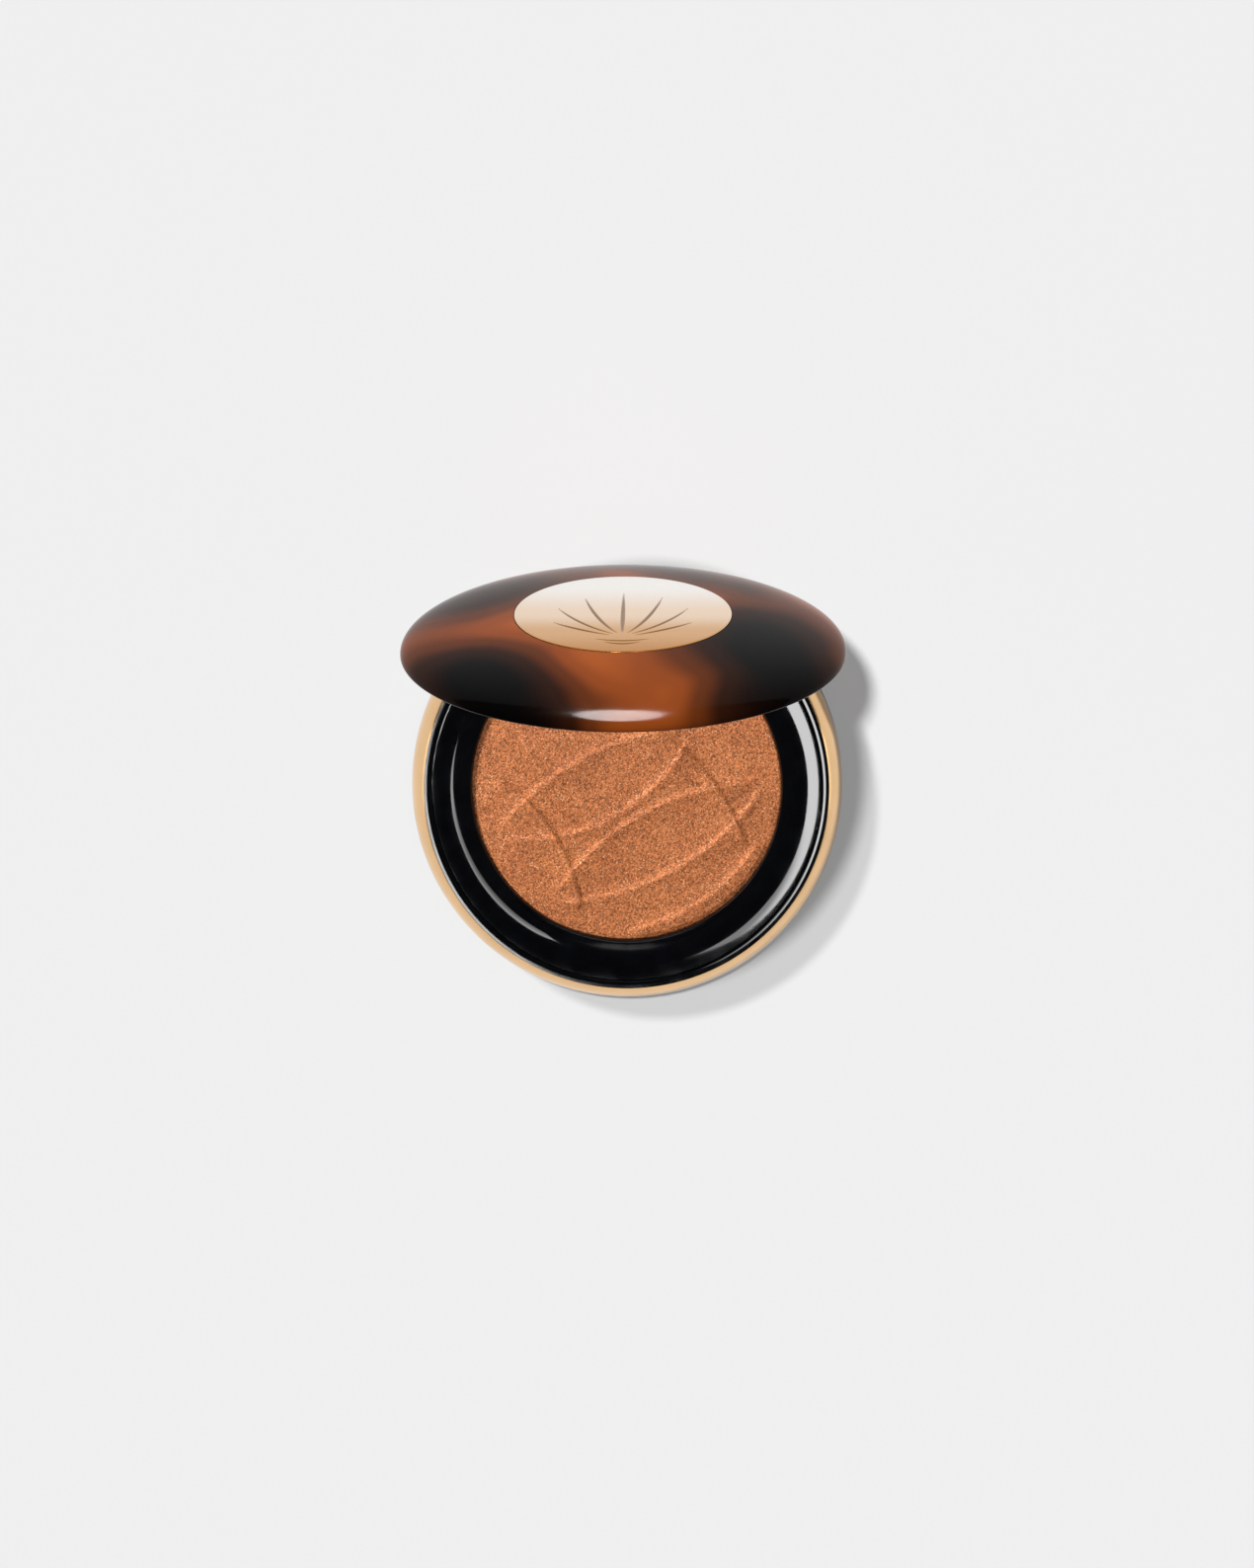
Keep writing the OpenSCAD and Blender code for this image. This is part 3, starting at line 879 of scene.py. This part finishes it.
# %% The liner
frame_r, frame_z, mirror_seat_r, mirror_seat_z = 36.3, -0.5, 29.35, 1.25
frame_chamfer, brim_z, brim_r, top_r, top_z = 0.3, 1.0, 34.1, 33.1, 2.25
liner = [(mirror_seat_r, frame_z, 0.12), (frame_r - frame_chamfer, frame_z, 0.1)]
liner += [(frame_r, frame_z + frame_chamfer, 0.1), (frame_r, brim_z), (brim_r, brim_z)]
liner += [(top_r, top_z), (0, top_z), (0, mirror_seat_z), (mirror_seat_r, mirror_seat_z)]
lid_liner = turned("lid_liner", section(liner))
knuckle_half, bush_hole_r = 4.0, 0.95
arm_low, arm_high = -0.35, knuckle_r - lid_rise
under = 180 - math.degrees(math.asin((arm_low + lid_rise) / knuckle_r))
arm = [(lip_in_r, arm_low)] + arc(hinge_y, -lid_rise, knuckle_r, knuckle_r, under, 360 + 90, 48)
arm += [(lip_in_r, arm_high)]
mill(lid_liner, slab(arm, -knuckle_half, knuckle_half, ear_round), "UNION")
mill(lid_liner, bar(-knuckle_half - 1, knuckle_half + 1, bush_hole_r, hinge_y, -lid_rise))
on_lid(lid_liner, "lid_frame", case_black)

# %% The mirror
mirror_glass = Finish("mirror_glass", Metallic=1.0)
g = mirror_glass
g.set(
    Base_Color=g.ramp(g.noise(0.05, 2.0), (0.3, (0.86, 0.89, 0.90)), (0.7, (0.90, 0.92, 0.93))),
    Roughness=g.spread(g.noise(0.3, 3.0), 0.45, 0.75, 0.008, 0.03),
)
mirror_r, mirror_z, mirror_t, ground = 29.25, -0.4, 1.5, 0.5
glass = [(0, mirror_z), (mirror_r - ground, mirror_z, 0.05), (mirror_r, mirror_z + 0.15, 0.05)]
glass += [(mirror_r, mirror_z + mirror_t), (0, mirror_z + mirror_t)]
mirror = turned("mirror_plate", section(glass))
on_lid(mirror, "mirror", mirror_glass)

# %% The pin
def plain_metal(name, colour, gloss, per_mm):
    made = Finish(name, Metallic=1.0)
    lines = made.noise(per_mm, 4.0)
    made.set(
        Base_Color=made.ramp(lines, (0.3, colour), (0.7, tuple(0.9 * c for c in colour))),
        Roughness=made.spread(lines, 0.3, 0.7, gloss, gloss * 1.4),
        Normal=made.bump(lines, 0.01, 0.2),
    )
    return made


pin_steel = plain_metal("pin_steel", (0.62, 0.62, 0.63), 0.2, 3.0)
pin_half, pin_chamfer = 8.0, 0.12
pin = bar(-pin_half, pin_half, pin_r, hinge_y, hinge_z, pin_chamfer, name="hinge_pin_steel")
belongs(pin, "hinge_pin", pin_steel)

# %% [markdown]
# ## Parts that stay as packed
# The pan, the ballast plate, the magnets, the glue discs and the bushes are simple shapes that are right
# as they come. They only need finishes of their own.

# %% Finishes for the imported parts
def soft_finish(name, colour, gloss, per_mm, depth_mm):
    made = Finish(name, IOR=1.45)
    fine = made.noise(per_mm, 4.0, 0.6)
    made.set(
        Base_Color=made.ramp(fine, (0.3, tuple(0.85 * c for c in colour)), (0.7, colour)),
        Roughness=made.spread(fine, 0.3, 0.7, gloss, min(1.0, gloss * 1.3)),
        Normal=made.bump(fine, depth_mm, 0.5),
    )
    return made


packed = {
    "weight_plate": plain_metal("ballast_steel", (0.50, 0.51, 0.52), 0.35, 1.5),
    "powder_pan": plain_metal("pan_aluminium", (0.78, 0.79, 0.80), 0.3, 2.0),
    "base_label": soft_finish("label_black", (0.022, 0.022, 0.025), 0.55, 2.5, 0.02),
}
adhesive = soft_finish("adhesive_white", (0.80, 0.79, 0.74), 0.7, 1.5, 0.03)
magnet = plain_metal("magnet_nickel", (0.66, 0.66, 0.64), 0.22, 2.0)
acetal = soft_finish("bush_acetal", (0.84, 0.83, 0.78), 0.4, 1.2, 0.01)
for node in ("pan_adhesive", "medallion_adhesive", "mirror_adhesive"):
    packed[node] = adhesive
for node in ("base_magnet_left", "base_magnet_right", "lid_magnet_left", "lid_magnet_right"):
    packed[node] = magnet
for node in ("hinge_bush_left", "hinge_bush_right"):
    packed[node] = acetal
for node, finish in packed.items():
    wear(frame["nodes"][node], finish)
print("packed parts dressed", len(packed))

# %% [markdown]
# ## The camera
# The camera looks down on the tray from a little behind the hinge, so that it sees the powder and the
# outside of the lid at once. A long lens from over a metre away keeps the circles nearly true.

# %% The camera
climb, swing = math.radians(98.0), math.radians(0.8)
distance, nudge_right, nudge_up = 1.3009, 0.000088, 0.00083
level = math.cos(swing)
back = Vector((math.sin(swing), -math.cos(climb) * level, math.sin(climb) * level))
right = (Vector((1, 0, 0)) - back * back.x).normalized()
up = back.cross(right)
lens = bpy.data.cameras.new("camera")
lens.lens, lens.sensor_width = 165.46, 36.0
lens.clip_start, lens.clip_end = 0.05, 20.0
camera = bpy.data.objects.new("camera", lens)
bpy.context.scene.collection.objects.link(camera)
rim_level = Vector((0, 0, base_h * MM))
spot = rim_level + back * distance + right * nudge_right + up * nudge_up
turn = Matrix((right, up, back)).transposed().to_4x4()
camera.matrix_world = Matrix.Translation(spot) @ turn
bpy.context.scene.camera = camera
print("camera", tuple(round(c, 4) for c in spot))

# %% [markdown]
# ## The table
# The table is one large plain square, painted pale and matt. It lies a hair below the compact's foot, so
# that the two faces don't flicker through each other.

# %% The table
half_table, table_gap = 4.0, 0.00002
table_mesh = bpy.data.meshes.new("table")
signs = ((-1, -1), (1, -1), (1, 1), (-1, 1))
corners = [(sx * half_table, sy * half_table, -table_gap) for sx, sy in signs]
table_mesh.from_pydata(corners, [], [(0, 1, 2, 3)])
table = bpy.data.objects.new("table", table_mesh)
bpy.context.scene.collection.objects.link(table)
table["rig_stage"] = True
paint = Finish("table_paint", Roughness=0.9, IOR=1.3)
cloud = paint.noise(0.002, 2.0)
paint.set(Base_Color=paint.ramp(cloud, (0.3, (0.60, 0.60, 0.60)), (0.7, (0.602, 0.602, 0.602))))
wear(table, paint)
print("table", 2 * half_table, "m square")

# %% [markdown]
# ## Who is lit by what
# A studio keeps light off a piece with flags and black cards. Blender's light linking does the same with
# collections: each lamp has a list of what it lights, and a list of what may shade it. So the tray, the
# band, the powder, the dome, the medallion and the table can each be lit for its own finish.

# %% Collections and lamps
def gathered(name, pieces):
    """A collection that a light may be linked to."""
    group = bpy.data.collections.new(name)
    for piece in pieces:
        group.objects.link(piece)
    return group


compact = gathered("compact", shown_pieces())
base_only = gathered("base_only", [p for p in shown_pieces() if body_of(p) == ["base"]])
table_only = gathered("table_only", [table])
powder_only = gathered("powder_only", [powder_cake])
dome_only = gathered("dome_only", [lid_dome])
tray_only = gathered("tray_only", [tray_ring])
band_only = gathered("band_only", [rim_band])
medal_only = gathered("medal_only", [medallion])
carded = gathered("carded", [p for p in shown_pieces() if p not in (lid_dome, rim_band)])


def placed(lamp, place, aim, lit, blockers):
    """Puts a lamp in place, aims it, and links what it lights and what may shade it."""
    bpy.context.scene.collection.objects.link(lamp)
    lamp.location = place
    lamp.rotation_euler = (Vector(aim) - Vector(place)).to_track_quat("-Z", "Y").to_euler()
    lamp.visible_camera = False
    lamp.light_linking.receiver_collection = lit
    lamp.light_linking.blocker_collection = blockers
    return lamp


def panel(name, place, size, aim, radiance, lit, shape="RECTANGLE"):
    """A soft panel. Its strength is the brightness that a mirror would show."""
    light = bpy.data.lights.new(name, "AREA")
    light.shape, light.size, light.size_y = shape, *size
    fill = math.pi / 4 if shape == "ELLIPSE" else 1
    light.energy = radiance * math.pi * size[0] * size[1] * fill
    return placed(bpy.data.objects.new(name, light), place, aim, lit, base_only)


def far_light(name, towards, strength, softness, lit, blockers):
    """An even light from far away, from a direction, with its softness as an angle in degrees."""
    light = bpy.data.lights.new(name, "SUN")
    light.energy, light.angle = strength, math.radians(softness)
    return placed(bpy.data.objects.new(name, light), towards, (0, 0, 0), lit, blockers)


# %% [markdown]
# ## Glowing cards overhead
# Small glossy things are lit with big soft cards, because gloss shows the lamp itself, with its outline
# and its fade. The card on the left draws the right-hand crescent on the tray, and the card on the right
# draws the left-hand one. Each card's outline is cut so that its crescent starts and ends where it
# should, and its glow fades along one direction, as cloth in front of a lamp would make it.

# %% Glowing cards
room_h = 2.0


def glowing(name):
    """A finish that only gives light."""
    return Finish(name + "_glow", Base_Color=(0, 0, 0, 1), Emission_Color=(1, 1, 1, 1))


def glow_card(name, corners, along, fade_from, fade_to, bright, dim, bend=1.0):
    """A glowing card overhead, whose light fades along one direction."""
    mesh = bpy.data.meshes.new(name)
    mesh.from_pydata([(x, y, room_h) for x, y in corners], [], [tuple(range(len(corners)))])
    card = bpy.data.objects.new(name, mesh)
    bpy.context.scene.collection.objects.link(card)
    glow = glowing(name)
    along_mm = glow.vector("DOT_PRODUCT", glow.place, (*along, 0.0))
    left = glow.spread(along_mm, fade_from / MM, fade_to / MM, 1.0, 0.0, smooth=bend == 1.0)
    bent_fade = glow.number("POWER", left, bend)
    glow.set(Emission_Strength=glow.spread(bent_fade, 0.0, 1.0, dim, bright, smooth=False))
    wear(card, glow)
    card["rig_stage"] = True
    card.visible_camera = card.visible_shadow = False
    card.light_linking.receiver_collection = carded
    card.light_linking.blocker_collection = compact
    print(name, "with", len(corners), "corners")


left_corners = [(-0.385, -0.95), (-0.05, -0.95), (-0.05, -0.32), (-0.10, -0.22), (-0.13, -0.14)]
left_corners += [(-0.15, -0.05), (-0.155, 0.03), (-0.20, 0.02), (-0.294, -0.056), (-0.385, -0.25)]
right_corners = [(0.533, -0.95), (1.9, -0.95), (1.9, 1.5), (0.57, 0.66), (0.31, 0.45)]
right_corners += [(0.345, 0.31), (0.43, 0.14), (0.531, -0.06)]
glow_card("left_card", left_corners, (0, 1), -0.24, -0.10, 17.0, 5.6)
glow_card("right_card", right_corners, (0.94, 0.34), 0.458, 1.458, 8.5, 0.35, 6.0)

# %% [markdown]
# ## Small panels and keys
# A small panel makes the glint at the tray's front. Three low panels stand round the table for the gold
# band, which faces outwards and would otherwise mirror a dark room. A soft oval makes the long glint on
# the dome; it adds no light of its own to the amber, which has a broad key instead. The powder's key
# comes in low from the left, so that every grain and arc throws a little shade.

# %% Panels and keys
panel("front_glint", (0.0, 1.66, room_h), (0.58, 1.2), (0, 1.66, 0), 26.0, tray_only)
low_h = 0.09
for name, x, y in (("left_low", -1.2, -0.05), ("right_low", 1.2, -0.05), ("front_low", 0.05, -1.2)):
    panel(name, (x, y, low_h), (0.5, 0.17), (0, 0, 0.006), 2.0, band_only)
glint_place, glint_aim = (-0.01, 0.453, 0.22), (0, 0.023, 0.084)
lid_glint = panel("lid_glint", glint_place, (0.20, 0.30), glint_aim, 115.0, dome_only, "ELLIPSE")
lid_glint.visible_diffuse = False
far_light("powder_key", (-0.62, 0.42, 0.52), 4.3, 10, powder_only, base_only)
dome_key = far_light("dome_key", (-0.1, 0.6, 0.8), 4.1, 20, dome_only, base_only)
dome_key.visible_glossy = False

# %% [markdown]
# ## A tent for the medallion
# A flat polished disc mirrors one spot of the room at a time, and looks dead when that spot is dark.
# Jewellers put a pale tent round such a piece. Here the tent is a wide glowing cone, and only the
# medallion sees it.

# %% The tent
def circle(radius, steps, x=0.0, y=0.0):
    """Points on a circle."""
    turn = [2 * math.pi * k / steps for k in range(steps)]
    return [(x + radius * math.cos(a), y + radius * math.sin(a)) for a in turn]


tent_r, tent_top, tent_foot, tent_sides = 3000, 2600, 50, 48
tent_points = [(0, 0, tent_top)] + [(x, y, tent_foot) for x, y in circle(tent_r, tent_sides)]
tent_faces = [(0, 1 + k, 1 + (k + 1) % tent_sides) for k in range(tent_sides)]
tent = mesh_piece("tent", tent_points, tent_faces)
tent_glow = glowing("tent")
tent_glow.set(Emission_Strength=tent_glow.spread(tent_glow.noise(0.0005), 0.0, 1.0, 0.55, 0.65))
wear(tent, tent_glow)
tent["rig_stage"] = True
tent.visible_camera = tent.visible_shadow = False
tent.light_linking.receiver_collection = medal_only
print("tent", 2 * tent_r, "mm across")

# %% [markdown]
# ## Light and shade on the table
# The table gets an even light from straight above, and two soft lights from the left that throw the
# compact's shadows to the right. A round flag, which nothing sees and which only throws shade, stands in
# each of those two lights and gives the shadow its clean round edge.

# %% Light on the table
table_e, shade_soft, lid_shade_h = 4.44, 3.5, 46.0
tilt = Vector((-6.0, 4.8, 0)) + back * (lid_shade_h / back.z)
tilt.normalize()
far_light("table_even", (0, 0, 1), table_e * 0.3, 1, table_only, base_only)
# Share of the light, the shadow's shift to the right and down in millimetres, and the flag's height
flags = {"long": (0.28, 6.6, 4.8, 32.0), "near": (0.42, 4.4, -1.0, 55.0)}
for name, (share, right_mm, down_mm, flag_h) in flags.items():
    flag_x = right_mm + tilt.x / tilt.z * flag_h
    flag_y = tilt.y / tilt.z * flag_h - down_mm
    outline = [(x, y, flag_h) for x, y in circle(case_r, 96, flag_x, flag_y)]
    flag = mesh_piece(name + "_flag", outline, [tuple(range(len(outline)))])
    flag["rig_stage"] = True
    wear(flag, paint)
    for kind in ("camera", "diffuse", "glossy", "transmission", "volume_scatter"):
        setattr(flag, "visible_" + kind, False)
    shade = gathered(name + "_shade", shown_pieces() + [flag])
    far_light(name + "_shade", tilt, table_e * share / tilt.z, shade_soft, table_only, shade)

# %% [markdown]
# ## The room
# What the gloss mirrors between the lamps is a dark room, which keeps the black black. What the camera
# sees past the table is a pale backdrop. One shader mixes the two, by asking who is looking.

# %% The room
world = bpy.data.worlds.new("studio")
bpy.context.scene.world = world
world.use_nodes = True
sky = world.node_tree
room = sky.nodes["Background"]
room.inputs["Color"].default_value = (0.08, 0.08, 0.085, 1)
backdrop = sky.nodes.new("ShaderNodeBackground")
backdrop.inputs["Color"].default_value = (0.9, 0.9, 0.9, 1)
seen = sky.nodes.new("ShaderNodeLightPath")
choose = sky.nodes.new("ShaderNodeMixShader")
sky.links.new(seen.outputs["Is Camera Ray"], choose.inputs[0])
sky.links.new(room.outputs[0], choose.inputs[1])
sky.links.new(backdrop.outputs[0], choose.inputs[2])
sky.links.new(choose.outputs[0], sky.nodes["World Output"].inputs["Surface"])
bpy.context.scene.view_settings.view_transform = "Standard"
print("view transform", bpy.context.scene.view_settings.view_transform)

# %% [markdown]
# The looks must not change the size. The finished box is printed.

# %% Write the sizes and finish
low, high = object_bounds()
print("finished box", [round((b - a) / MM, 2) for a, b in zip(low, high)])
